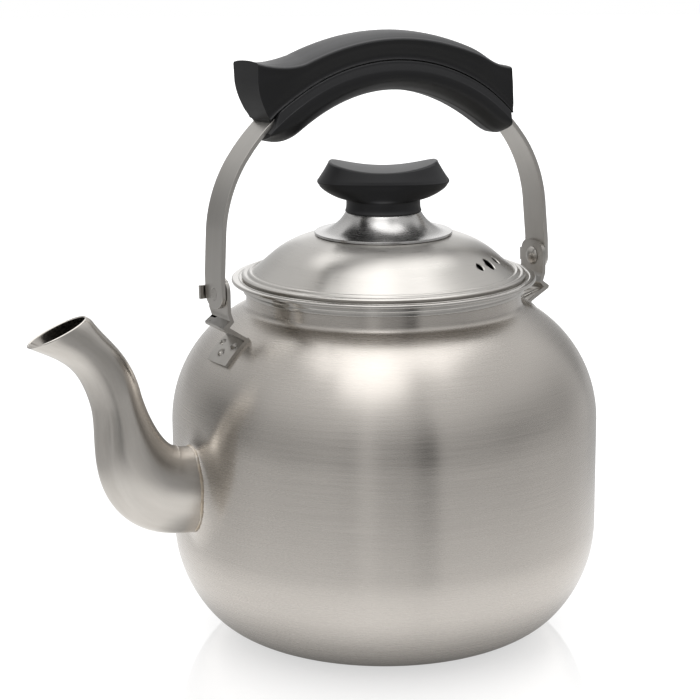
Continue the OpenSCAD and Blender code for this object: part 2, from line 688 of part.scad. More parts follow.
// Rings of the knob from the bottom of its bore, over the outside, to the saddle:
// [half length, half depth, height, squareness]
knob_levels = [
    [16.6, 16.4, 0, 1], [16.8, 16.6, 0.35, 1], [16.1, 15.7, 3.1, 1], [17.3, 15.5, 4.7, 0.97],
    [20.6, 15.4, 6.8, 0.9], [24.2, 15.5, 8.7, 0.82], [27.2, 15.7, 10.8, 0.72],
    [knob_half_l - 0.3, knob_half_d - 0.05, 12.9, 0.66], [knob_half_l, knob_half_d, 13.8, 0.64],
    [knob_half_l - 0.4, knob_half_d - 0.1, 14.7, 0.64],
    [knob_half_l - 2.5, knob_half_d - 0.8, 17.4, 0.63],
    [knob_half_l - 4.6, knob_half_d - 1.6, knob_h - 1.8, 0.61]];
knob_top_l = knob_half_l - 5.3;
knob_top_d = knob_half_d - 2.2;
function saddle_z(x) = knob_h - saddle_h * (1 - pow(x / knob_top_l, 2));
// The saddle draws the upper rings down between the ends
function knob_ring(l) = [for (p = oval(l[0], l[1], knob_n, l[3]))
    [p[0], p[1], l[2] - (l[2] > 0.7 * knob_h ? (l[2] / knob_h - 0.66) / 0.34 : 0)
        * saddle_h * (1 - pow(p[0] / l[0], 2))]];
function knob_top(s) = [for (p = oval(knob_top_l * s, knob_top_d * s, knob_n, mix(1, 0.6, s)))
    [p[0], p[1], saddle_z(p[0])]];
function round_ring(r, z) = [for (p = oval(r, r, knob_n)) [p[0], p[1], z]];

module knob() {
    rings = concat([round_ring(insert_r, insert_h), round_ring(insert_r, 0)],
        [for (l = knob_levels) knob_ring(l)], [for (s = [1, 0.75, 0.5, 0.25]) knob_top(s)]);
    count = len(rings);
    first = count * knob_n;
    ends = [for (i = [0:knob_n - 1]) let (j = (i + 1) % knob_n)
        each [[first, i, j],
            [first + 1, (count - 1) * knob_n + j, (count - 1) * knob_n + i]]];
    color(black)
        translate([0, 0, knob_z])
            rotate([0, 0, lid_turn])
                polyhedron(concat([for (r = rings) each r],
                        [[0, 0, insert_h], [0, 0, saddle_z(0)]]),
                    concat(skin(count, knob_n), ends), convexity = 6);
}

// Threaded insert moulded into the knob
module knob_insert() {
    color(brass)
        translate([0, 0, knob_z])
            difference() {
                cylinder(h = insert_h - 0.1, r = insert_r - 0.03);
                translate([0, 0, -cut])
                    cylinder(h = insert_h, r = screw_r + 0.05);
            }
}

washer_t = 1;
// The lid is slightly hollow, so the flat washer bears on its rim only
washer_z = lid_top_z - lid_t - 0.25 - washer_t;

module knob_washer() {
    color(dark_steel)
        translate([0, 0, washer_z])
            difference() {
                cylinder(h = washer_t, r = 6);
                translate([0, 0, -cut])
                    cylinder(h = washer_t + 2 * cut, r = screw_hole_r);
            }
}

// Screw from inside the lid into the knob
module knob_screw() {
    head_h = 2.4;
    color(dark_steel) {
        translate([0, 0, washer_z])
            cylinder(h = seat_top_z + 8 - washer_z, r = screw_r);
        translate([0, 0, washer_z - head_h])
            cylinder(h = head_h, r = 3.8);
    }
}

body_shell();
mouth_ring();
spout();
spout_weld();
ear_spout_side();
ear_rear_side();
bail_strap();
pivot_rivets();
grip_upper();
grip_lower();
lid_shell();
lid_ring();
knob_seat();
knob();
knob_insert();
knob_screw();
knob_washer();
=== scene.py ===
import math

import bmesh
import bpy
import numpy as np
from mathutils import Matrix, Vector


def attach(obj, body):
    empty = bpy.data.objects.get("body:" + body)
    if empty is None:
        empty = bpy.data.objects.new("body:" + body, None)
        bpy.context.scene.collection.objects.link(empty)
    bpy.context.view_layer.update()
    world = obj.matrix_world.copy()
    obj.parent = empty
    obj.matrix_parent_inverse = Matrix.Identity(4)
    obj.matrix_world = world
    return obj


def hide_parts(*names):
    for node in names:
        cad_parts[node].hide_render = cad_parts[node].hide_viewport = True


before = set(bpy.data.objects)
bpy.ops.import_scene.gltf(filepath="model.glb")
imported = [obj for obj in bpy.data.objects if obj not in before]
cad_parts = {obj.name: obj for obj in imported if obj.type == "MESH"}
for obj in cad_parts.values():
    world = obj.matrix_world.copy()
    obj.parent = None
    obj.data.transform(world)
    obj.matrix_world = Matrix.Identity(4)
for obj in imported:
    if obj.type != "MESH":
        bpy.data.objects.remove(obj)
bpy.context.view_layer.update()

# ---------- pot ----------
# Stainless sheet 1 mm thick, drawn to a round pot with a short neck. A collar is pulled out of the
# wall where the spout is welded on, and the outside is brushed all round on a lathe.

MM = 0.001
AROUND = 256


class Value:
    """A socket of a material. The operators add the Math node that works them out."""

    def __init__(self, finish, socket):
        self.finish, self.socket = finish, socket

    def _math(self, operation, a, b):
        return self.finish.node("ShaderNodeMath", {"operation": operation}, a, b)

    def __add__(self, other):
        return self._math("ADD", self, other)

    def __mul__(self, other):
        return self._math("MULTIPLY", self, other)

    def __sub__(self, other):
        return self._math("SUBTRACT", self, other)

    def __rsub__(self, other):
        return self._math("SUBTRACT", other, self)

    __radd__, __rmul__ = __add__, __mul__


class Finish:
    """A material. Numbers and colours that are the same all over are set on its shader."""

    def __init__(self, name, **constants):
        self.material = bpy.data.materials.new(name)
        self.material.use_nodes = True
        self.tree = self.material.node_tree
        self.shader = self.tree.nodes["Principled BSDF"]
        for key, value in constants.items():
            self.shader.inputs[key.replace("_", " ")].default_value = value

    def node(self, kind, settings=None, *values, out=0, **named):
        """Adds a node: its type, its settings, such as a ramp's stops, and then the values or links
        of its sockets, by their order or by their names."""
        node = self.tree.nodes.new(kind)
        for key, value in (settings or {}).items():
            if key == "stops":
                ramp = node.color_ramp.elements
                while len(ramp) < len(value):
                    ramp.new(0.5)
                for element, (place, colour) in zip(ramp, value):
                    rgb = colour if isinstance(colour, tuple) else (colour,) * 3
                    element.position = place
                    element.color = (*rgb, 1)
            else:
                setattr(node, key, value)
        for key, value in [*enumerate(values), *named.items()]:
            if value is None:
                continue
            socket = node.inputs[key.replace("_", " ") if isinstance(key, str) else key]
            if isinstance(value, Value):
                self.tree.links.new(value.socket, socket)
            else:
                socket.default_value = value
        return Value(self, node.outputs[out])

    def noise(self, where, scale, detail=2.0, rough=0.5):
        """Noise from 0 to 1 at a place stretched by scale, which has one number for each axis."""
        spot = self.node("ShaderNodeMapping", {}, where, Scale=scale)
        return self.node("ShaderNodeTexNoise", {}, spot, Scale=1.0, Detail=detail, Roughness=rough)

    def ramp(self, factor, *stops):
        """Colour ramp with stops of a place and a grey or a colour."""
        return self.node("ShaderNodeValToRGB", {"stops": stops}, factor)

    def blend(self, factor, a, b, how="MIX"):
        """Mixes two colours by a factor."""
        return self.node("ShaderNodeMix", {"data_type": "RGBA", "blend_type": how},
                         factor, None, None, None, None, None, a, b, out=2)

    def bump(self, height, strength, depth_mm, under=None):
        """Tilts the normal by the slope of a height, on top of another bump if one is given."""
        return self.node("ShaderNodeBump", {}, Strength=strength, Distance=depth_mm * MM,
                         Height=height, Normal=under)

    def feed(self, **sockets):
        """Links values to the shader's sockets."""
        for key, value in sockets.items():
            self.tree.links.new(value.socket, self.shader.inputs[key.replace("_", " ")])

    def place(self):
        """The place on the object, in metres."""
        return self.node("ShaderNodeTexCoord", {}, out=3)

    def grain(self):
        """Direction round a piece and length along its section or path, in metres. Turned pieces
        and the spout carry it."""
        return self.node("ShaderNodeAttribute", {"attribute_name": "grain"}, out=1)


def closed_up(mesh, within):
    """Merges the points of a mesh that lie within a distance in mm, and turns its faces outwards."""
    bm = bmesh.new()
    bm.from_mesh(mesh)
    bmesh.ops.remove_doubles(bm, verts=bm.verts, dist=within * MM)
    bmesh.ops.recalc_face_normals(bm, faces=bm.faces)
    bm.to_mesh(mesh)
    bm.free()


def solid(name, points, faces, grain, finish, sharp=32):
    """Mesh from points in mm, with the grain at each point where it has one."""
    mesh = bpy.data.meshes.new(name)
    mesh.from_pydata((np.asarray(points, float) * MM).tolist(), [], np.asarray(faces).tolist())
    if grain is not None:
        layer = mesh.attributes.new("grain", "FLOAT_VECTOR", "POINT")
        layer.data.foreach_set("vector", np.asarray(grain, np.float32).ravel())
    closed_up(mesh, 0.002)
    return finished(bpy.data.objects.new(name, mesh), finish, sharp)


def finished(piece, finish, sharp):
    """Links a piece, smooths its faces up to the angle sharp, and gives it its material."""
    bpy.context.scene.collection.objects.link(piece)
    piece.data.shade_smooth()
    piece.data.set_sharp_from_angle(angle=math.radians(sharp))
    piece.data.materials.clear()
    piece.data.materials.append(finish.material)
    return piece


def grid_faces(rows, columns, close_rows=False, close_columns=True):
    """Four-sided faces between the neighbours of a grid of points, which may close on itself."""
    ids = np.arange(rows * columns).reshape(rows, columns)
    if close_rows:
        ids = np.vstack([ids, ids[:1]])
    if close_columns:
        ids = np.hstack([ids, ids[:, :1]])
    return np.stack([ids[:-1, :-1], ids[1:, :-1], ids[1:, 1:], ids[:-1, 1:]], -1).reshape(-1, 4)


def arc(cx, cz, r, a0, a1, n):
    """Points (x, z) of an arc about (cx, cz), from angle a0 to a1 in degrees."""
    a = np.radians(np.linspace(a0, a1, n))
    return np.stack([cx + r * np.cos(a), cz + r * np.sin(a)], -1)


def lengths(line):
    """Length along a line of points up to each of them."""
    return np.concatenate([[0], np.cumsum(np.linalg.norm(np.diff(line, axis=0), axis=1))])


def turn(line):
    """Rings of points round the axis, and the grain, for a line of (radius, height) in mm."""
    a = np.linspace(0, 2 * np.pi, AROUND, endpoint=False)
    flat = np.stack([np.cos(a), np.sin(a), np.zeros(AROUND)], -1)
    up = np.array([0, 0, 1.0])
    points = line[:, 0, None, None] * flat + line[:, 1, None, None] * up
    grain = flat + (lengths(line) * MM)[:, None, None] * up
    return points, np.broadcast_to(grain, points.shape)


def brushed(name, colour, rough, anisotropic, lines=4200, streak=0.05, lift=0.05):
    """Steel with fine lines round the axis: lines is their number in a metre of section."""
    steel = Finish(name, Metallic=1.0, Anisotropic=anisotropic, Anisotropic_Rotation=0.25)
    grain = steel.grain()
    fine = steel.noise(grain, (5, 5, lines), 3.0, 0.6)
    band = steel.noise(grain, (2.2, 2.2, lines / 4), 3.0, 0.6)
    cloud = steel.noise(grain, (1.6, 1.6, 16), 2.0)
    dark, light = (tuple(c * (1 + s * streak) for c in colour) + (1,) for s in (-2.2, 2.2))
    tone = band * 0.6 + cloud * 0.4
    steel.feed(Base_Color=steel.blend(tone, dark, light),
               Roughness=rough + (fine - 0.5) * 0.12 + (band - 0.5) * 0.1 + (cloud - 0.5) * 0.06,
               Normal=steel.bump(fine, 0.5, lift * 0.02, steel.bump(band, 0.5, lift * 0.02)))
    return steel


BODY_R, NECK_R, NECK_TOP, SHEET = 95.0, 61.0, 158.45, 1.0
# Radii and centres of the arcs: the lower and the upper part of the round base edge, the shoulder
# and the fillet under the neck
LOW_R, HIGH_R, SHOULDER_R, FILLET_R = 35.0, 57.1, 56.0, 3.5
CORNER, HIGH, SHOULDER = (55.0, LOW_R), (BODY_R - HIGH_R, 49.0), (BODY_R - SHOULDER_R, 96.0)
NECK_C = (NECK_R + FILLET_R, SHOULDER[1] + math.sqrt((SHOULDER_R + FILLET_R) ** 2
                                                   - (NECK_R + FILLET_R - SHOULDER[0]) ** 2))
NECK_A = math.degrees(math.acos((NECK_C[0] - SHOULDER[0]) / (SHOULDER_R + FILLET_R)))
TURN_A = math.degrees(math.atan2(CORNER[1] - HIGH[1], CORNER[0] - HIGH[0]))
pot_line = np.vstack([
    np.stack([np.linspace(0, CORNER[0] - 1, 10), np.zeros(10)], -1),
    arc(*CORNER, LOW_R, -90, TURN_A, 16),
    arc(*HIGH, HIGH_R, TURN_A, 0, 18)[1:],
    np.stack([np.full(16, BODY_R), np.linspace(HIGH[1] + 2, SHOULDER[1] - 2, 16)], -1),
    arc(*SHOULDER, SHOULDER_R, 0, NECK_A, 30),
    arc(*NECK_C, FILLET_R, NECK_A + 180, 180, 9)[1:],
    np.stack([np.full(6, NECK_R), np.linspace(NECK_C[1] + 1, NECK_TOP, 6)], -1)])

# The spout's seam: an upright oval in the plane x = -SEAM_X
SEAM_X, SEAM_Z, SEAM_HALF_H, SEAM_HALF_W = 97.5, 77.1, 19.1, 10.6
# The collar round it: the window's lowest and highest point and half its width in columns, how far
# from the seam the collar starts to rise, and the number of its rings
WINDOW_LOW, WINDOW_HIGH, WINDOW_COLUMNS = 43, 111, 13
COLLAR_W, COLLAR_RINGS = 9.0, 30


def pot_with_collar():
    """The turned wall with a window cut in it on the spout's side. Rings lead from the window's
    edge to the seam, and rise to its plane in a quarter of an oval: rise * (1 - sqrt(1 - n^2)),
    where n goes from 0 at COLLAR_W from the seam to 1 at the seam."""
    points, grain = turn(pot_line)
    rows = len(pot_line)
    heights = pot_line[:, 1]
    r0, r1 = int(np.argmax(heights > WINDOW_LOW)), int(np.argmax(heights > WINDOW_HIGH))
    c0, c1 = AROUND // 2 - WINDOW_COLUMNS, AROUND // 2 + WINDOW_COLUMNS
    faces = grid_faces(rows, AROUND)
    row, column = faces[:, 0] // AROUND, faces[:, 0] % AROUND
    faces = faces[~((row >= r0) & (row < r1) & (column >= c0) & (column < c1))]
    loop = np.array([(r0, c) for c in range(c0, c1)] + [(r, c1) for r in range(r0, r1)]
                    + [(r1, c) for c in range(c1, c0, -1)] + [(r, c0) for r in range(r1, r0, -1)])
    edge = points[loop[:, 0], loop[:, 1]]
    y, z = edge[:, 1], edge[:, 2] - SEAM_Z
    phi = np.arctan2(z / SEAM_HALF_H, y / SEAM_HALF_W)
    seam = np.stack([SEAM_HALF_W * np.cos(phi), SEAM_HALF_H * np.sin(phi)], -1)
    t = 1 - (1 - np.linspace(0, 1, COLLAR_RINGS)) ** 2.2     # closer together near the seam
    flat = (1 - t)[:, None, None] * np.stack([y, z], -1) + t[:, None, None] * seam
    near = np.clip(1 - np.linalg.norm(flat - seam, axis=-1) / COLLAR_W, 0, 1)
    wall_r = np.interp(flat[..., 1] + SEAM_Z, heights[r0:r1 + 1], pot_line[r0:r1 + 1, 0])
    wall_x = np.sqrt(wall_r ** 2 - flat[..., 0] ** 2)
    x = wall_x + (SEAM_X - wall_x) * (1 - np.sqrt(1 - near ** 2))
    patch = np.stack([-x, flat[..., 0], flat[..., 1] + SEAM_Z], -1)
    side = patch / np.linalg.norm(patch[..., :2], axis=-1, keepdims=True)
    side[..., 2] = np.interp(patch[..., 2], heights[r0:r1 + 1], lengths(pot_line)[r0:r1 + 1]) * MM
    more = grid_faces(len(t), len(loop)) + rows * AROUND
    return (np.vstack([points.reshape(-1, 3), patch.reshape(-1, 3)]), np.vstack([faces, more]),
            np.vstack([grain.reshape(-1, 3), side.reshape(-1, 3)]))


pot_steel = brushed("brushed_pot", (0.58, 0.545, 0.505), 0.27, 0.88)
pot = solid("pot_wall", *pot_with_collar(), pot_steel, 60)
wall = pot.modifiers.new("wall", "SOLIDIFY")
wall.thickness, wall.offset = SHEET * MM, -1.0
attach(pot, "kettle")
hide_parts("body_shell")

# ---------- mouth ring ----------
# Turned steel flange with a sleeve that is pressed over the neck. The lid rests on it. Its edge is
# rounded and it is polished brighter than the pot.


def softened(corners, r, step=2.0):
    """Closed line through the corners, each rounded with a parabola that starts r away from it,
    or at 0.45 of a shorter side, and with a point about every step mm between them."""
    corners = np.asarray(corners, float)
    before, after = np.roll(corners, 1, 0), np.roll(corners, -1, 0)
    line = []
    for p, c, q in zip(before, corners, after):
        a, b = p - c, q - c
        la, lb = np.linalg.norm(a), np.linalg.norm(b)
        d = min(r, 0.45 * la, 0.45 * lb)
        t = np.linspace(0, 1, 6)[:, None]
        start, end = c + a / la * d, c + b / lb * d
        line.append((1 - t) ** 2 * start + 2 * t * (1 - t) * c + t ** 2 * end)
        far = c + b - b / lb * min(r, 0.45 * lb)
        n = int(np.linalg.norm(far - end) / step)
        if n > 0:
            line.append(end + (far - end) * (np.arange(1, n + 1) / (n + 1))[:, None])
    return np.vstack(line)


def turned(name, line, finish):
    """Closed ring: a closed line of (radius, height) turned about the axis."""
    points, grain = turn(line)
    return solid(name, points.reshape(-1, 3), grid_faces(len(line), AROUND, True),
                 grain.reshape(-1, 3), finish, 40)


ring_steel = brushed("polished_ring", (0.58, 0.56, 0.53), 0.2, 0.5, 5200, 0.03, 0.03)
FLANGE_Z, FLANGE_TOP, FLANGE_R, MOUTH_R = 158.52, 160.12, 67.3, 58.2
SLEEVE_R, SLEEVE_IN, SLEEVE_Z = 62.3, NECK_R + 0.02, 153.92
LINE_R, LINE_Z = 64.3, 155.9        # fine lines turned into the flange's top and into the sleeve
mouth_line = softened([
    (MOUTH_R, FLANGE_Z), (MOUTH_R, FLANGE_TOP), (LINE_R - 0.4, FLANGE_TOP),
    (LINE_R, FLANGE_TOP - 0.25), (LINE_R + 0.4, FLANGE_TOP), (FLANGE_R, FLANGE_TOP),
    (FLANGE_R, FLANGE_Z), (SLEEVE_R, FLANGE_Z), (SLEEVE_R, LINE_Z + 0.5), (SLEEVE_R - 0.2, LINE_Z),
    (SLEEVE_R, LINE_Z - 0.5), (SLEEVE_R, SLEEVE_Z), (SLEEVE_IN, SLEEVE_Z),
    (SLEEVE_IN, FLANGE_Z)], 0.75)
mouth = turned("mouth_flange", mouth_line, ring_steel)
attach(mouth, "kettle")
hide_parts("mouth_ring")

# ---------- spout ----------
# Steel tube in the form of an S: wide and oval at the seam, narrow at the waist, cut slanting at
# the mouth. It is pressed in two halves, and brushed by hand along its length.


def bezier(p, t):
    """Places on the cubic curve with the control points p, and its direction in degrees, at t."""
    t = t[:, None]
    place = ((1 - t) ** 3 * p[0] + 3 * t * (1 - t) ** 2 * p[1] + 3 * t * t * (1 - t) * p[2]
             + t ** 3 * p[3])
    slope = (1 - t) ** 2 * (p[1] - p[0]) + 2 * t * (1 - t) * (p[2] - p[1]) + t * t * (p[3] - p[2])
    return place, np.degrees(np.arctan2(slope[:, 1], slope[:, 0]))


def smooth(t):
    """Runs from 0 to 1 with level ends: t^2 * (3 - 2 * t)."""
    t = np.clip(t, 0, 1)
    return t * t * (3 - 2 * t)


def mix(a, b, t):
    """The straight way from a at t = 0 to b at t = 1."""
    return a + (b - a) * t


def heading(degrees):
    """Unit vector (x, z) that leans outwards to the spout's side, by degrees from upright."""
    return np.array([-math.sin(math.radians(degrees)), math.cos(math.radians(degrees))])


# The spout's path in its plane: seam, waist and mouth, with its direction at the last two and the
# lengths of the curves' handles
SEAM, WAIST, LIP = np.array([-SEAM_X, SEAM_Z]), np.array([-131.5, 121.8]), np.array([-156.4, 152.9])
WAIST_LEAN, LIP_LEAN = 13.8, 65.0
SEAM_PULL, BELOW_WAIST, ABOVE_WAIST, LIP_PULL = np.array([-28.6, 0.7]), 21.3, 19.5, 6.0
# Half sizes of the ovals in that plane and across it, and half length, slope and start of the turn
# into the slanting cut of the mouth
WAIST_D, WAIST_W, LIP_D, LIP_W = 11.0, 9.2, 7.8, 7.4
CUT_D, CUT_A, CUT_FROM = 13.9, 21.3, 0.62


def spout_tube(around=96):
    """Ovals along two curves that meet at the waist, each turned from the seam's plane, square to
    the path, to the slanting plane of the mouth. The tube is closed by its inner face."""
    up, out = heading(WAIST_LEAN), heading(LIP_LEAN)
    u = np.linspace(0, 1, 131)
    low, high = u[u < 0.5], u[u >= 0.5]
    a, wa = bezier([SEAM, SEAM + SEAM_PULL, WAIST - BELOW_WAIST * up, WAIST], 2 * low)
    b, wb = bezier([WAIST, WAIST + ABOVE_WAIST * up, LIP - LIP_PULL * out, LIP], 2 * high - 1)
    middle, way = np.vstack([a, b]), np.concatenate([wa, wb])
    first, then = np.clip(2 * u, 0, 1), np.clip(2 * u - 1, 0, 1)
    half_d = mix(mix(SEAM_HALF_H, WAIST_D, smooth(first ** 1.55)), LIP_D, smooth(then))
    half_w = mix(mix(SEAM_HALF_W, WAIST_W, smooth(first)), LIP_W, smooth(then))
    turned_in = smooth((u - CUT_FROM) / (1 - CUT_FROM))
    angle = np.radians(mix(mix(90, way - 90, smooth(u / 0.12)), CUT_A, turned_in))
    half_d = mix(half_d, CUT_D, turned_in * smooth(then))
    # the cut edge of the mouth is rounded over from the outer to the inner face: share of the
    # sheet's thickness passed, and height over the cut
    edge = np.array([(0.12, 0.2), (0.35, 0.34), (0.65, 0.34), (0.88, 0.2)])
    last = len(u) - 1
    order = np.concatenate([np.arange(last + 1), np.full(4, last), np.arange(last, -1, -1)])
    inset = np.concatenate([np.zeros(last + 1), edge[:, 0], np.ones(last + 1)]) * SHEET
    lift = np.concatenate([np.zeros(last + 1), edge[:, 1], np.zeros(last + 1)])
    w = np.linspace(0, 2 * np.pi, around, endpoint=False)
    p = (half_d[order] - inset)[:, None] * np.cos(w)
    q = (half_w[order] - inset)[:, None] * np.sin(w)
    face = angle[order][:, None]
    x = middle[order, 0][:, None] + p * np.cos(face) - lift[:, None] * np.sin(face)
    z = middle[order, 1][:, None] + p * np.sin(face) + lift[:, None] * np.cos(face)
    along = np.linspace(0, 110 * MM, last + 1)[order]     # the spout is about 110 mm long
    grain = np.stack([np.broadcast_to(np.cos(w), p.shape), np.broadcast_to(np.sin(w), p.shape),
                      np.broadcast_to(along[:, None], p.shape)], -1)
    return np.stack([x, q, z], -1), grain


spout_steel = Finish("brushed_spout", Metallic=1.0)
spot = spout_steel.grain()
scratch = spout_steel.noise(spot, (46, 46, 60), 4.0, 0.7)
rub = spout_steel.noise(spot, (3, 3, 46), 3.0, 0.6)
lines = spout_steel.noise(spot, (7, 7, 3000), 2.0, 0.6)
spout_steel.feed(
    Base_Color=spout_steel.blend(rub, (0.51, 0.48, 0.44, 1), (0.67, 0.64, 0.6, 1)),
    Roughness=0.14 + scratch * 0.08 + rub * 0.08,
    Normal=spout_steel.bump(lines, 0.5, 0.0014, spout_steel.bump(scratch, 0.4, 0.003)))
points, grain = spout_tube()
spout = solid("spout_tube", points.reshape(-1, 3), grid_faces(*points.shape[:2], True),
              grain.reshape(-1, 3), spout_steel, 50)
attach(spout, "kettle")
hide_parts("spout")

# ---------- seam ----------
# Weld bead round the joint of spout and collar, ground nearly flush. The heat has left a straw
# colour along it.


def seam_bead(around=220):
    """A flat oval section carried round the seam. Sines along its length make it uneven."""
    w = np.linspace(0, 2 * np.pi, around, endpoint=False)
    v = np.linspace(0, 2 * np.pi, 12, endpoint=False)
    uneven = 1 + 0.12 * np.sin(9 * w + 1) + 0.1 * np.sin(23 * w) + 0.08 * np.sin(51 * w + 2)
    rise = 0.02 + 0.3 * uneven[:, None] * np.sin(v)
    x = -SEAM_X + 0.75 * uneven[:, None] * np.cos(v) + 0.15 * np.sin(7 * w)[:, None]
    return np.stack([x, (SEAM_HALF_W + rise) * np.cos(w)[:, None],
                     SEAM_Z + (SEAM_HALF_H + rise) * np.sin(w)[:, None]], -1)


weld_steel = Finish("ground_weld", Metallic=1.0)
where = weld_steel.place()
heat = weld_steel.noise(where, (130, 130, 90), 3.0)
pit = weld_steel.noise(where, (1500, 1500, 1500), 3.0)
weld_steel.feed(
    Base_Color=weld_steel.ramp(heat, (0.35, (0.5, 0.47, 0.43)), (0.55, (0.53, 0.46, 0.37)),
                               (0.75, (0.4, 0.33, 0.26))),
    Roughness=0.32 + pit * 0.2, Normal=weld_steel.bump(pit, 0.6, 0.03))
bead = seam_bead()
seam = solid("seam_bead", bead.reshape(-1, 3), grid_faces(*bead.shape[:2], True), None,
             weld_steel, 60)
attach(seam, "kettle")
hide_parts("spout_weld")

# ---------- ears and rivets ----------
# Ears of 1.6 mm sheet, stamped and folded, with three spot welds in the foot of each. A rivet
# with a domed head holds each end of the bail. The edges are broken by tumbling.


def rounded_edges(piece, width, segments, angle):
    """Rounds the edges of a piece that are sharper than an angle in degrees, by a width in mm."""
    bevel = piece.modifiers.new("edge", "BEVEL")
    bevel.width, bevel.segments = width * MM, segments
    bevel.limit_method, bevel.angle_limit = "ANGLE", math.radians(angle)
    bevel.harden_normals = True


def deburred(name, node, body, finish, edge):
    """A copy of a CAD node with its triangles joined, smooth faces and broken edges."""
    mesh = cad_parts[node].data.copy()
    bm = bmesh.new()
    bm.from_mesh(mesh)
    bmesh.ops.remove_doubles(bm, verts=bm.verts, dist=0.001 * MM)
    bmesh.ops.dissolve_limit(bm, angle_limit=math.radians(0.4), verts=bm.verts, edges=bm.edges)
    bm.to_mesh(mesh)
    bm.free()
    piece = finished(bpy.data.objects.new(name, mesh), finish, 30)
    rounded_edges(piece, edge, 2, 40)
    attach(piece, body)
    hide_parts(node)


ear_steel = Finish("tumbled_ears", Metallic=1.0)
where = ear_steel.place()
speck = ear_steel.noise(where, (900, 900, 900), 4.0, 0.65)
stain = ear_steel.noise(where, (120, 120, 120), 3.0)
ear_steel.feed(Base_Color=ear_steel.blend(stain, (0.36, 0.34, 0.31, 1), (0.6, 0.58, 0.55, 1)),
               Roughness=0.22 + speck * 0.16, Normal=ear_steel.bump(speck, 0.5, 0.02))
for side in ("spout_side", "rear_side"):
    deburred("ear_plate_" + side, "ear_" + side, "kettle", ear_steel, 0.28)
deburred("rivet_pair", "pivot_rivets", "bail", ear_steel, 0.12)

# ---------- strap ----------
# Flat steel 15.5 x 2 mm, rolled to the bail's arch, with round ends. Its faces are belt ground
# along the length and its edges are rounded.

strap_steel = Finish("ground_strap", Metallic=1.0)
where = strap_steel.place()
lengthwise = strap_steel.noise(where, (9, 3200, 9), 3.0, 0.6)
ground = strap_steel.noise(where, (5, 900, 5), 2.0, 0.5)
shade = strap_steel.noise(where, (26, 60, 26), 2.0)
strap_steel.feed(
    Base_Color=strap_steel.blend(ground * 0.3 + shade * 0.7, (0.46, 0.44, 0.41, 1),
                                 (0.62, 0.6, 0.57, 1)),
    Roughness=0.26 + lengthwise * 0.12 + shade * 0.06,
    Normal=strap_steel.bump(lengthwise, 0.5, 0.003))
deburred("bail_band", "bail_strap", "bail", strap_steel, 0.45)

# ---------- grip ----------
# Two halves of matt black phenolic, moulded and joined over the strap. The upper one has sharp
# top edges that sweep up into a wing at the spout's end, and a dark groove marks the joint, with
# painted shade on its upper wall, which faces down.

PIVOT_Z, ARCH_R, ARCH_Z, LEAN = 160.7, 90.0, 163.5, math.radians(2)
PART_R, STRAP_W, STRAP_T = 91.4, 15.5, 2.0
STEPS = 6                           # fine steps between two points of a half section
UPPER_ENDS, LOWER_ENDS = (65.6, 64.8), (60.6, 63.2)     # towards the spout and to the rear


def arch(x, r):
    """Height over x of the bail's arc of radius r."""
    return ARCH_Z + np.sqrt(r * r - x * x)


def ridge(x):
    """Height of the top edges: a parabola, the wing at the spout's end and a little rise behind."""
    return (PIVOT_Z + 103.8 - 14.8 * ((x - 0.3) / 57) ** 2
            + 11.5 * (np.maximum(0, -x - 42) / 22.7) ** 1.7 + 0.017 * np.maximum(0, x - 51) ** 2)


def underside(x):
    """Height of the underside: a parabola whose ends are lifted by parabolas of their own."""
    return (PIVOT_Z + 80.9 - 24.6 * ((x - 2.3) / 57) ** 2
            + 0.037 * np.maximum(0, np.maximum(-x - 42, x - 52)) ** 2
            + 0.05 * np.maximum(0, x - 57) ** 2)


def end_weight(x):
    """Runs from 0 at 44 mm from the middle to 1 at 64 mm."""
    return smooth((np.abs(x) - 44) / 20)


def end_shift(x, z):
    """How far a point of the upper half moves along x. The foot of the spout's end is set back
    with the square of its depth, and the top of the rear end in a straight line."""
    t = np.clip((z - ARCH_Z - 67) / 20, 0, 1)
    return end_weight(x) * np.where(x < 0, 8 * (1 - t) ** 2, -2 * t)


def on_arch(x, r):
    """Place on the arc of radius r of the section that starts at x, found in six steps."""
    v = x
    for _ in range(6):
        v = x + end_shift(x, arch(v, r))
    return v, arch(v, r)


def eased(section, steps, straight):
    """A row of section points made finer: straight between the first ones, then a smooth curve
    through the rest (Catmull and Rom's)."""
    s = np.concatenate([section[:, :1], section, section[:, -1:]], 1)
    rows = []
    for i in range(1, s.shape[1] - 2):
        a, b, c, d = (s[:, i + k] for k in (-1, 0, 1, 2))
        for t in np.arange(steps) / steps:
            line = b + (c - b) * t
            curve = 0.5 * (2 * b + (c - a) * t + (2 * a - 5 * b + 4 * c - d) * t ** 2
                           + (3 * b - a - 3 * c + d) * t ** 3)
            rows.append(line if i <= straight else curve)
    rows.append(section[:, -1])
    return np.stack(rows, 1)


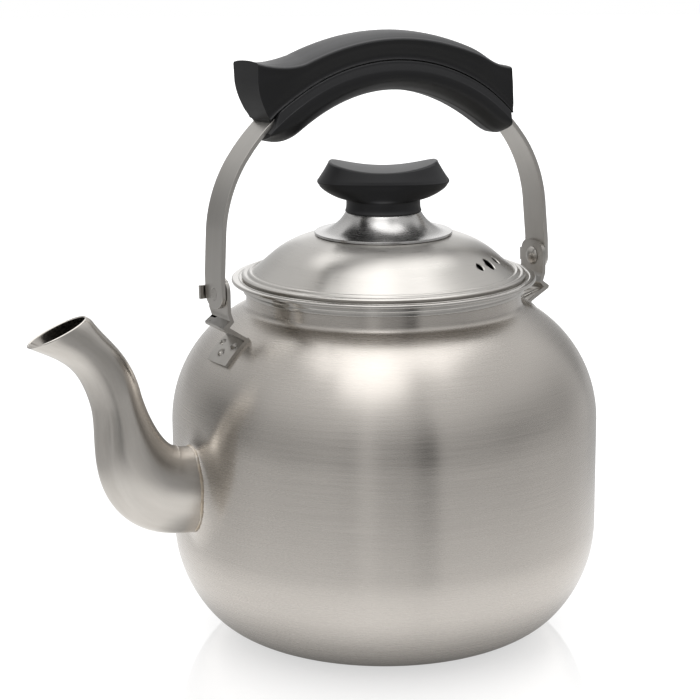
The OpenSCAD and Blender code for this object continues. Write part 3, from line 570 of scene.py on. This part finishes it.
def upper_sections(x):
    """Half sections of the upper half at x: tongue over the strap, side, top edge and crown."""
    sx, sz = on_arch(x, ARCH_R + 0.12)
    px, z = on_arch(x, PART_R + 0.04)
    e, top = end_weight(x), ridge(x)
    w, r, crown, m = 10.3 - 1.2 * e, 12.4 - 1.4 * e, 3.2 * (1 - 0.75 * e), z + 3.6
    line = [(w + 0.35, z + 0.2), (w - 0.1, z + 0.8), (w - 0.1, z + 2.3),
            (w + 0.5, mix(m, top, 0.05)), (mix(w, r, 0.5), mix(m, top, 0.3)),
            (mix(w, r, 0.78), mix(m, top, 0.55)), (r - 0.2, mix(m, top, 0.78)), (r, top - 1.1),
            (r - 0.35, top - 0.4), (r - 1.1, top + 0.02), (r - 2.4, top + 0.28 * crown),
            (0.62 * r, top + 0.62 * crown), (0.32 * r, top + 0.9 * crown),
            (np.zeros_like(x), top + crown)]
    side = np.full_like(x, STRAP_W / 2 - 0.3)
    inner = [np.stack([sx, side, sz], -1), np.stack([px, side, z], -1)]
    outer = [np.stack([x + end_shift(x, q), p, q], -1) for p, q in line]
    return eased(np.stack(inner + outer, 1), STEPS, 2)


def lower_sections(x):
    """Half sections of the lower half at x: groove for the strap, side and narrow underside. The
    groove's walls run out past the upper half's foot on the spout's side."""
    z, s = arch(x, PART_R - 0.04), arch(x, ARCH_R - STRAP_T - 0.12)
    low, e, out = underside(x), end_weight(x), smooth((-x - 55) / 4)
    w, m, b = 10.3 - 1.2 * e, z - 4.4, np.full_like(x, 3.6)
    line = [(w + 0.35, mix(z - 0.2, s + 0.2, out)), (w + 0.85, mix(z - 1.6, s + 0.1, out)),
            (w + 1.4, np.minimum(s - 0.05, z - 3.6)), (w + 1.6, m - 0.5),
            (w + 1.4, mix(m, low, 0.3)), (w + 0.6, mix(m, low, 0.5)),
            (mix(b, w, 0.75), mix(m, low, 0.7)), (mix(b, w, 0.42), mix(m, low, 0.85)),
            (b + 0.5, mix(m, low, 0.95)), (b - 0.6, low + 0.06), (np.zeros_like(x), low)]
    side = np.full_like(x, STRAP_W / 2 + 0.12)
    inner = [np.stack([x, side, s], -1), np.stack([x, side, mix(z, s + 0.3, out)], -1)]
    outer = [np.stack([x, p, q], -1) for p, q in line]
    return eased(np.stack(inner + outer, 1), STEPS, 2)


def grip_half(name, sections, base, finish):
    """Joins half sections with their mirror images to a closed body, leans it back with the bail,
    and rounds the edges of its ends. base is the number of points of the groove or tongue."""
    rings, m = sections.shape[:2]
    n = 2 * m
    loop = np.concatenate([sections, sections[:, ::-1] * [1, -1, 1]], 1)
    faces = grid_faces(rings, n).tolist()
    for first in (0, (rings - 1) * n):
        i = np.arange(base, m - 1)
        faces += (np.stack([i, n - 1 - i, n - 2 - i, i + 1], -1) + first).tolist()
        if base:
            faces += [[first + k for k in range(base + 1)],
                      [first + n - 1 - k for k in range(base + 1)]]
    y, z = loop[..., 1], loop[..., 2] - PIVOT_Z
    loop = np.stack([loop[..., 0], y * math.cos(LEAN) + z * math.sin(LEAN),
                     PIVOT_Z - y * math.sin(LEAN) + z * math.cos(LEAN)], -1)
    mesh = bpy.data.meshes.new(name)
    mesh.from_pydata((loop.reshape(-1, 3) * MM).tolist(), [], faces)
    closed_up(mesh, 0.004)
    piece = finished(bpy.data.objects.new(name, mesh), finish, 38)
    rounded_edges(piece, 1.2, 4, 50)
    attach(piece, "bail")
    return piece


phenolic = Finish("black_phenolic", Specular_IOR_Level=0.4)
where = phenolic.place()
skin = phenolic.noise(where, (2600, 2600, 2600), 3.0, 0.6)
wear = phenolic.noise(where, (70, 70, 70), 3.0, 0.6)
# painted light and shade: the resin's colour is grey where it faces up and black where it faces down,
# as light from above falls on it
upright = phenolic.node("ShaderNodeTexCoord", {}, out=1)
up = phenolic.node("ShaderNodeSeparateXYZ", {}, upright, out=2) * 0.5 + 0.5
painted_top_light = phenolic.ramp(up, (0.3, (0.003, 0.003, 0.003)), (0.47, (0.008, 0.008, 0.009)),
                       (0.58, (0.022, 0.022, 0.024)), (0.95, (0.055, 0.055, 0.057)))
phenolic.feed(
    Base_Color=phenolic.blend(wear, phenolic.blend(0.35, painted_top_light, (0.004, 0.004, 0.005, 1)),
                              painted_top_light),
    Roughness=0.34 + skin * 0.12 + wear * 0.1,
    Normal=phenolic.bump(skin, 0.3, 0.02))


def along(ends):
    """Places of the sections along x, on a sine, so that they lie closer together at the ends."""
    share = np.sin(np.linspace(-math.pi / 2, math.pi / 2, 110))
    return np.where(share < 0, *ends) * share


upper = grip_half("grip_top", upper_sections(along(UPPER_ENDS)), 0, phenolic)
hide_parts("grip_upper")
lower = grip_half("grip_under", lower_sections(along(LOWER_ENDS)), 4 * STEPS, phenolic)
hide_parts("grip_lower")

# ---------- lid ----------
# Spun dome of 0.8 mm steel with a conical flank, two rolled grooves and a curled edge at its rim.
# Three lens-shaped steam vents are punched in the flank, and a ring below centres it in the mouth.

LID_T, RIM_Z, HOLE_R = 0.8, 160.17, 2.3
TOP_R, BEND_R, BEND_X, CONE = 121.0, 38.0, 36.8, math.radians(41)
CONE_X, CONE_Z = 57.0, 163.4
BEND_A = math.asin(BEND_X / TOP_R)
BEND = (BEND_X - BEND_R * math.sin(BEND_A),
        CONE_Z + (CONE_X - BEND_X + BEND_R * (math.sin(BEND_A) - math.sin(CONE))) * math.tan(CONE)
        - BEND_R * math.cos(CONE))
TOP_Z = BEND[1] - (TOP_R - BEND_R) * math.cos(BEND_A)
LID_TURN = math.radians(-32)


def dome_line(t):
    """Line of the dome t inside its outer face: an arc from the screw's hole, a closer arc and a
    straight cone, each touching the next."""
    hole_a, bend_a, cone_a = (90 - math.degrees(v) for v in (math.asin(HOLE_R / TOP_R), BEND_A, CONE))
    top = arc(0, TOP_Z, TOP_R - t, hole_a, bend_a, 26)
    bend = arc(*BEND, BEND_R - t, bend_a, cone_a, 16)
    foot = np.array([CONE_X, CONE_Z]) - t * np.array([math.sin(CONE), math.cos(CONE)])
    cone = bend[-1] + (foot - bend[-1]) * np.linspace(0, 1, 10)[1:, None]
    return np.vstack([top, bend[1:], cone])


rim_out = np.array([(57.5, 163.0), (57.75, 162.72), (58.1, 162.6), (58.4, 162.72), (58.7, 162.95),
                    (59.1, 163.0), (59.5, 162.85), (59.9, 162.45), (60.1, 162.05), (60.35, 161.85),
                    (60.7, 161.85), (61.1, 162.0), (61.6, 162.02), (62.1, 161.9), (62.6, 161.62),
                    (62.88, 161.3), (62.85, 161.0), (62.55, 160.85), (61.9, 160.85), (61.72, 160.5),
                    (61.7, RIM_Z)])
rim_in = np.array([(61.2, RIM_Z), (61.1, 160.6), (60.9, 161.0), (60.4, 161.1), (59.7, 161.25),
                   (58.6, 161.75), (57.6, 162.1)])
lid_line = np.vstack([dome_line(0), rim_out, rim_in, dome_line(LID_T)[::-1]])

lid_steel = brushed("spun_lid", (0.58, 0.56, 0.53), 0.3, 0.8, 4200, 0.045, 0.04)
lid = turned("lid_dome", lid_line, lid_steel)

# Each vent is the lens between two round bars that cross, square to the flank
VENT_R, VENT_A, PUNCH = 50.6, math.radians(-26), 4
# Their places in degrees round the lid, half lengths and half widths
for place, half_l, half_w in ((-9.3, 2.3, 1.8), (0, 3.6, 2.5), (10.4, 2.3, 1.6)):
    bar = (half_l ** 2 + half_w ** 2) / (2 * half_w)
    half = math.asin(half_l / bar)
    bow = np.linspace(-half, half, 13)
    side = np.stack([bar * np.sin(bow), bar * np.cos(bow) - bar + half_w], -1)
    lens = np.vstack([side, -side[1:-1]])
    a = LID_TURN + VENT_A + math.radians(place)
    down = np.array([math.cos(CONE) * math.cos(a), math.cos(CONE) * math.sin(a), -math.sin(CONE)])
    across = np.array([-math.sin(a), math.cos(a), 0])
    out = np.array([math.sin(CONE) * math.cos(a), math.sin(CONE) * math.sin(a), math.cos(CONE)])
    centre = np.array([VENT_R * math.cos(a), VENT_R * math.sin(a),
                       CONE_Z + (CONE_X - VENT_R) * math.tan(CONE)])
    flat = centre + lens[:, :1] * down + lens[:, 1:] * across
    tool = solid("vent_punch", np.vstack([flat - PUNCH * out, flat + PUNCH * out]),
                 grid_faces(2, len(lens)), None, lid_steel)
    bm = bmesh.new()
    bm.from_mesh(tool.data)
    bmesh.ops.holes_fill(bm, edges=bm.edges)
    bmesh.ops.recalc_face_normals(bm, faces=bm.faces)
    bm.to_mesh(tool.data)
    bm.free()
    punch = lid.modifiers.new("vent", "BOOLEAN")
    punch.object, punch.operation, punch.solver = tool, "DIFFERENCE", "EXACT"
    bpy.context.view_layer.update()
    cut = bpy.data.meshes.new_from_object(lid.evaluated_get(bpy.context.evaluated_depsgraph_get()))
    lid.modifiers.clear()
    lid.data = cut
    bpy.data.objects.remove(tool)
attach(lid, "lid")
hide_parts("lid_shell")

COLLAR_OUT, COLLAR_LOW, COLLAR_TOP = 57.2, 151.0, 162.35
collar_steel = brushed("plain_collar", (0.5, 0.48, 0.45), 0.34, 0.4)
collar_line = softened([(COLLAR_OUT - LID_T, COLLAR_LOW), (COLLAR_OUT, COLLAR_LOW),
                        (COLLAR_OUT, COLLAR_TOP), (COLLAR_OUT - LID_T, COLLAR_TOP)], 0.3)
collar = turned("lid_collar", collar_line, collar_steel)
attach(collar, "lid")
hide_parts("lid_ring")

# ---------- knob seat ----------
# Flared cup of the same sheet between lid and knob, with a rounded rim. It is polished, and its
# hollow flank mirrors the dark knob above it.

SEAT_R, SEAT_TOP_R, SEAT_Z, SEAT_TOP = 30.4, 16.6, 178.9, 188.7
SEAT_EDGE = SEAT_Z + 1.2
# The flank is an arc that lies level at the rim and rises by rise over the width run
run, rise = SEAT_R + 0.1 - SEAT_TOP_R, SEAT_TOP - SEAT_EDGE
sweep = (run ** 2 + rise ** 2) / (2 * rise)
sweep_a = math.degrees(math.asin(run / sweep))
flank = arc(SEAT_R + 0.1, SEAT_EDGE + sweep, sweep, 270 - sweep_a, 268.5, 24)
inside = arc(SEAT_R + 0.1, SEAT_EDGE + sweep, sweep + LID_T, 269, 272 - sweep_a, 16)
seat_line = np.vstack([
    [(HOLE_R, SEAT_TOP - LID_T), (HOLE_R, SEAT_TOP), (9, SEAT_TOP), (SEAT_TOP_R - 0.8, SEAT_TOP),
     (SEAT_TOP_R - 0.2, SEAT_TOP - 0.02)],
    flank[1:],
    [(SEAT_R - 0.1, SEAT_EDGE - 0.03), (SEAT_R, SEAT_EDGE - 0.2), (SEAT_R, SEAT_EDGE - 0.6),
     (SEAT_R - 0.02, SEAT_Z + 0.25), (SEAT_R - 0.2, SEAT_Z + 0.06), (SEAT_R - 0.45, SEAT_Z + 0.06),
     (SEAT_R - 0.65, SEAT_Z + 0.25)],
    inside, [(SEAT_TOP_R - 1.3, SEAT_TOP - LID_T), (9, SEAT_TOP - LID_T)]])
seat_steel = brushed("polished_seat", (0.56, 0.55, 0.54), 0.27, 0.6, 5000, 0.03, 0.03)
seat = turned("knob_foot", seat_line, seat_steel)
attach(seat, "lid")
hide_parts("knob_seat")

# ---------- knob ----------
# Moulded of the same phenolic: a round stem that flares into a bar with blunt ends and a saddle
# in its top for the thumb. A brass insert in its foot takes the screw from inside the lid.

KNOB_Z, KNOB_H, SADDLE, HALF_L, HALF_D = 188.72, 22.4, 3.8, 29.0, 15.8
# rings from the foot to the top: half length, half depth, height, squareness
knob_levels = np.array([
    [3.6, 3.6, 11, 1], [3.6, 3.6, 0, 1], [16.0, 15.8, 0, 1], [16.6, 16.4, 0.12, 1],
    [16.8, 16.6, 0.5, 1], [16.4, 16.1, 1.9, 1], [16.3, 16.0, 4.4, 1], [16.5, 15.95, 5.3, 1],
    [17.3, 15.9, 5.75, 0.98],
    [20.6, 15.5, 6.7, 0.9], [24.2, 15.5, 8.5, 0.82], [27.2, 15.7, 10.8, 0.72],
    [HALF_L - 0.35, HALF_D - 0.05, 12.9, 0.66],
    [HALF_L, HALF_D, 13.6, 0.64], [HALF_L - 0.45, HALF_D - 0.15, 14.3, 0.64],
    [HALF_L - 2.5, HALF_D - 0.8, 17.4, 0.63], [HALF_L - 4.5, HALF_D - 1.5, KNOB_H - 1.6, 0.61],
    [HALF_L - 5.0, HALF_D - 1.8, KNOB_H - 0.5, 0.61], [HALF_L - 5.8, HALF_D - 2.5, KNOB_H, 0.6]])


def oval_ring(half_l, half_d, square, around=144):
    """Oval between an ellipse (square = 1) and a rectangle (0), at even angles: its radius is
    (|cos / half_l|^(2 / square) + |sin / half_d|^(2 / square))^(-square / 2)."""
    a = np.linspace(0, 2 * np.pi, around, endpoint=False)
    c, s = np.cos(a), np.sin(a)
    power = 2 / square[:, None]
    reach = np.abs(c / half_l[:, None]) ** power + np.abs(s / half_d[:, None]) ** power
    r = reach ** (-1 / power)
    return r * c, r * s


def knob_rings():
    """The levels made finer, and closed by rings over the top. The saddle draws them down by
    SADDLE * (1 - (x / half length)^2), fully at the top and less and less below it."""
    fine = eased(knob_levels[None, 1:], 5, 2)[0]
    levels = np.vstack([knob_levels[:1], fine])
    x, y = oval_ring(levels[:, 0], levels[:, 1], levels[:, 3])
    high = np.clip((levels[:, 2] / KNOB_H - 0.66) / 0.34, 0, 1)[:, None]
    z = levels[:, 2, None] - high * SADDLE * (1 - (x / levels[:, 0, None]) ** 2)
    s = np.linspace(1, 0, 15)[1:] ** 0.8
    top_l, top_d = levels[-1, 0], levels[-1, 1]
    tx, ty = oval_ring(top_l * s + 1e-6, top_d * s + 1e-6, mix(1, 0.6, s))
    tz = KNOB_H - SADDLE * (1 - (tx / top_l) ** 2) + 0.35 * (1 - s[:, None] ** 2)
    x, y, z = np.vstack([x, tx]), np.vstack([y, ty]), np.vstack([z, tz])
    bore = np.stack([x[:1] * 1e-6, y[:1] * 1e-6, z[:1]], -1)
    cos_t, sin_t = math.cos(LID_TURN), math.sin(LID_TURN)
    x, y = x * cos_t - y * sin_t, x * sin_t + y * cos_t
    return np.vstack([bore, np.stack([x, y, z], -1)]) + [0, 0, KNOB_Z]


rings = knob_rings()
knob = solid("knob_black", rings.reshape(-1, 3), grid_faces(*rings.shape[:2]), None, phenolic, 50)
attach(knob, "lid")
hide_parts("knob")

# ---------- knob's fastening ----------
# Turned brass insert moulded into the knob, and a plated screw with a washer, from inside the
# lid. They stay as the solids are, and carry fine turning marks.

for nodes, name, colour, rough in (
        (["knob_insert"], "turned_brass", (0.72, 0.56, 0.28), 0.3),
        (["knob_screw", "knob_washer"], "plated_screw", (0.6, 0.6, 0.6), 0.25)):
    metal = Finish(name, Metallic=1.0)
    where = metal.place()
    marks = metal.noise(where, (90, 90, 5200), 3.0)
    dull = metal.noise(where, (260, 260, 260), 3.0)
    metal.feed(Base_Color=metal.blend(dull, tuple(c * 0.78 for c in colour) + (1,), (*colour, 1)),
               Roughness=rough + marks * 0.12, Normal=metal.bump(marks, 0.4, 0.01))
    for node in nodes:
        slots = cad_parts[node].data.materials
        slots.clear()
        slots.append(metal.material)

# ---------- floor and light ----------
# A white glossy table in a white room, lit by a soft box above. The room behind the camera is
# darker, as in a studio, with a glow high above the camera, and the steel mirrors that.


class Rays:
    """Light Path: camera is 1 for rays from the camera, and seen is 1 for those and for rays that
    are mirrored or pass through glass."""

    def __init__(self, tree):
        path = tree.nodes.new("ShaderNodeLightPath")
        first = tree.nodes.new("ShaderNodeMath")
        second = tree.nodes.new("ShaderNodeMath")
        first.operation = second.operation = "MAXIMUM"
        tree.links.new(path.outputs["Is Camera Ray"], first.inputs[0])
        tree.links.new(path.outputs["Is Glossy Ray"], first.inputs[1])
        tree.links.new(first.outputs[0], second.inputs[0])
        tree.links.new(path.outputs["Is Transmission Ray"], second.inputs[1])
        self.camera, self.seen = path.outputs["Is Camera Ray"], second.outputs[0]


CAMERA_A = math.radians(-32)
FLOOR_FRONT, FLOOR_BACK, FLOOR_HALF, FLOOR_DROP = 0.34, -4, 2, 0.0002
to_camera = np.array([math.sin(CAMERA_A), -math.cos(CAMERA_A), 0])
to_right = np.array([math.cos(CAMERA_A), math.sin(CAMERA_A), 0])

floor_mesh = bpy.data.meshes.new("floor")
corners = [to_camera * a + to_right * b for a, b in (
    (FLOOR_FRONT, -FLOOR_HALF), (FLOOR_FRONT, FLOOR_HALF), (FLOOR_BACK, FLOOR_HALF),
    (FLOOR_BACK, -FLOOR_HALF))]
floor_mesh.from_pydata([tuple(c) for c in corners], [], [(0, 1, 2, 3)])
floor = bpy.data.objects.new("floor", floor_mesh)
bpy.context.scene.collection.objects.link(floor)
floor.location = (0, 0, -FLOOR_DROP)
table = Finish("white_table", Roughness=0.06, Emission_Strength=0.6, Specular_IOR_Level=0.8)
# What the steel mirrors of the table: dark in the kettle's own shade, bright round it, dim far off.
# The ramp's places are twice the distance from the kettle's axis in metres.
away = table.node("ShaderNodeVectorMath", {"operation": "LENGTH"}, table.place(), out=1)
mirrored = table.ramp(away * 2, (0.11, 0.05), (0.155, 0.45), (0.22, 1.05), (0.44, 0.85),
                      (0.66, 0.42))
seen_by = Rays(table.tree)
shine = table.blend(Value(table, seen_by.camera), mirrored, (1, 1, 1, 1))
table.feed(Base_Color=table.blend(1.0, shine, (0.5, 0.5, 0.5, 1), "MULTIPLY"),
           Emission_Color=table.blend(1.0, shine, Value(table, seen_by.seen), "MULTIPLY"))
floor_mesh.materials.append(table.material)


# The soft box hangs behind the kettle's middle and is turned towards it
BOX_SIZE, BOX_POWER = 1.6, 10
box_place, kettle_middle = Vector(-to_camera * 0.3 + [0, 0, 1.6]), Vector((0, 0, 0.12))
lamp = bpy.data.lights.new("ceiling_box", "AREA")
lamp.shape, lamp.size, lamp.size_y, lamp.energy = "RECTANGLE", BOX_SIZE, BOX_SIZE, BOX_POWER
box = bpy.data.objects.new("ceiling_box", lamp)
bpy.context.scene.collection.objects.link(box)
box.location = box_place
box.rotation_euler = (kettle_middle - box_place).to_track_quat("-Z", "Y").to_euler()

room = bpy.data.worlds.new("room")
bpy.context.scene.world = room
room.use_nodes = True
tree = room.node_tree
rays = Rays(tree)


def sky_node(kind, operation, *values):
    """A node of the room's sky: values are numbers, vectors or sockets."""
    node = tree.nodes.new(kind)
    if operation:
        node.operation = operation
    for socket, value in zip(node.inputs, values):
        if isinstance(value, bpy.types.NodeSocket):
            tree.links.new(value, socket)
        else:
            socket.default_value = value
    return node.outputs["Value"] if "Value" in node.outputs else node.outputs[0]


def fade(value, low, high):
    """Smooth step from 0 at low to 1 at high."""
    node = tree.nodes.new("ShaderNodeMapRange")
    node.interpolation_type = "SMOOTHSTEP"
    tree.links.new(value, node.inputs["Value"])
    node.inputs["From Min"].default_value, node.inputs["From Max"].default_value = low, high
    return node.outputs[0]


# Brightness of the room by its direction, in degrees to the right of the camera's side
looking = tree.nodes.new("ShaderNodeTexCoord").outputs["Generated"]
height = sky_node("ShaderNodeVectorMath", "DOT_PRODUCT", looking, (0, 0, 1))
rightwards = sky_node("ShaderNodeVectorMath", "DOT_PRODUCT", looking, tuple(to_right))
forwards = sky_node("ShaderNodeVectorMath", "DOT_PRODUCT", looking, tuple(to_camera))
bearing = sky_node("ShaderNodeMath", "ARCTAN2", rightwards, forwards)
walls = tree.nodes.new("ShaderNodeValToRGB")
turn_share = sky_node("ShaderNodeMath", "MULTIPLY_ADD", bearing, 0.5 / math.pi, 0.5)
tree.links.new(turn_share, walls.inputs[0])
walls.color_ramp.interpolation = "EASE"
WALL_LIGHT = ((-173, 1.2), (-168, 0.6), (-135, 0.46), (-95, 0.12), (-62, 0.36), (-30, 0.42),
              (-17, 0.36), (-9, 0.56), (0, 0.36), (12, 0.3), (22, 0.1), (27, 0.12), (30, 0.44),
              (48, 0.4), (74, 0.32), (110, 0.38), (136, 0.5), (146, 0.34), (168, 0.4), (173, 1.2))
while len(walls.color_ramp.elements) < len(WALL_LIGHT):
    walls.color_ramp.elements.new(0.5)
for element, (degrees, grey) in zip(walls.color_ramp.elements, WALL_LIGHT):
    element.position, element.color = degrees / 360 + 0.5, (grey, grey, grey, 1)
# Higher up the room is brighter and differs less from side to side
CEILING_FROM, CEILING_TO, CEILING_SHARE, CEILING_LIGHT = 0.12, 0.6, 0.45, 0.58
ceiling = sky_node("ShaderNodeMath", "MULTIPLY_ADD", walls.outputs[0], CEILING_SHARE, CEILING_LIGHT)
level = tree.nodes.new("ShaderNodeMix")
tree.links.new(fade(height, CEILING_FROM, CEILING_TO), level.inputs[0])
tree.links.new(walls.outputs[0], level.inputs[2])
tree.links.new(ceiling, level.inputs[3])
# The glow of a large soft box above the camera, by the cosine of the angle from its middle
GLOW, GLOW_FROM, GLOW_TO = 1.25, 0.935, 0.985
above_camera = to_camera * 0.6 - to_right * 0.1 + [0, 0, 1.2]
toward = sky_node("ShaderNodeVectorMath", "DOT_PRODUCT", looking,
                  tuple(above_camera / np.linalg.norm(above_camera)))
glow = sky_node("ShaderNodeMath", "MULTIPLY", fade(toward, GLOW_FROM, GLOW_TO), GLOW)
level = sky_node("ShaderNodeMath", "ADD", level.outputs[0], glow)
strength = tree.nodes.new("ShaderNodeMix")
tree.links.new(rays.camera, strength.inputs[0])
tree.links.new(level, strength.inputs[2])
strength.inputs[3].default_value = 1.0
tree.links.new(strength.outputs[0], tree.nodes["Background"].inputs["Strength"])
tree.nodes["Background"].inputs["Color"].default_value = (1, 1, 1, 1)

# ---------- camera ----------
# It stands 0.9 m in front of the kettle, turned 32 degrees towards the spout, and looks down by
# 13 degrees. The focal length and the small tilts are fitted to the kettle's outlines.

DISTANCE, EYE_Z = 0.9, 0.3344
SENSOR, FOCAL_PX, PHOTO_PX = 36, 2066.6, 700       # mm, and pixels of the photo
pitch, yaw, roll, turn_by = (math.radians(v) for v in (13.04, -0.96, -0.4, 32))
ahead = Vector((math.sin(yaw) * math.cos(pitch), math.cos(yaw) * math.cos(pitch), -math.sin(pitch)))
right = Vector((math.cos(yaw), -math.sin(yaw), 0))
above = right.cross(ahead)
right, above = (math.cos(roll) * right + math.sin(roll) * above,
                -math.sin(roll) * right + math.cos(roll) * above)
optics = bpy.data.cameras.new("camera")
optics.sensor_width, optics.lens = SENSOR, SENSOR * FOCAL_PX / PHOTO_PX
camera = bpy.data.objects.new("camera", optics)
bpy.context.scene.collection.objects.link(camera)
about = Matrix.Rotation(-turn_by, 4, "Z")
looks = Matrix((right, above, -ahead)).transposed().to_4x4()
camera.matrix_world = about @ Matrix.Translation((0, -DISTANCE, EYE_Z)) @ looks
bpy.context.scene.camera = camera
bpy.context.scene.view_settings.view_transform = "Standard"
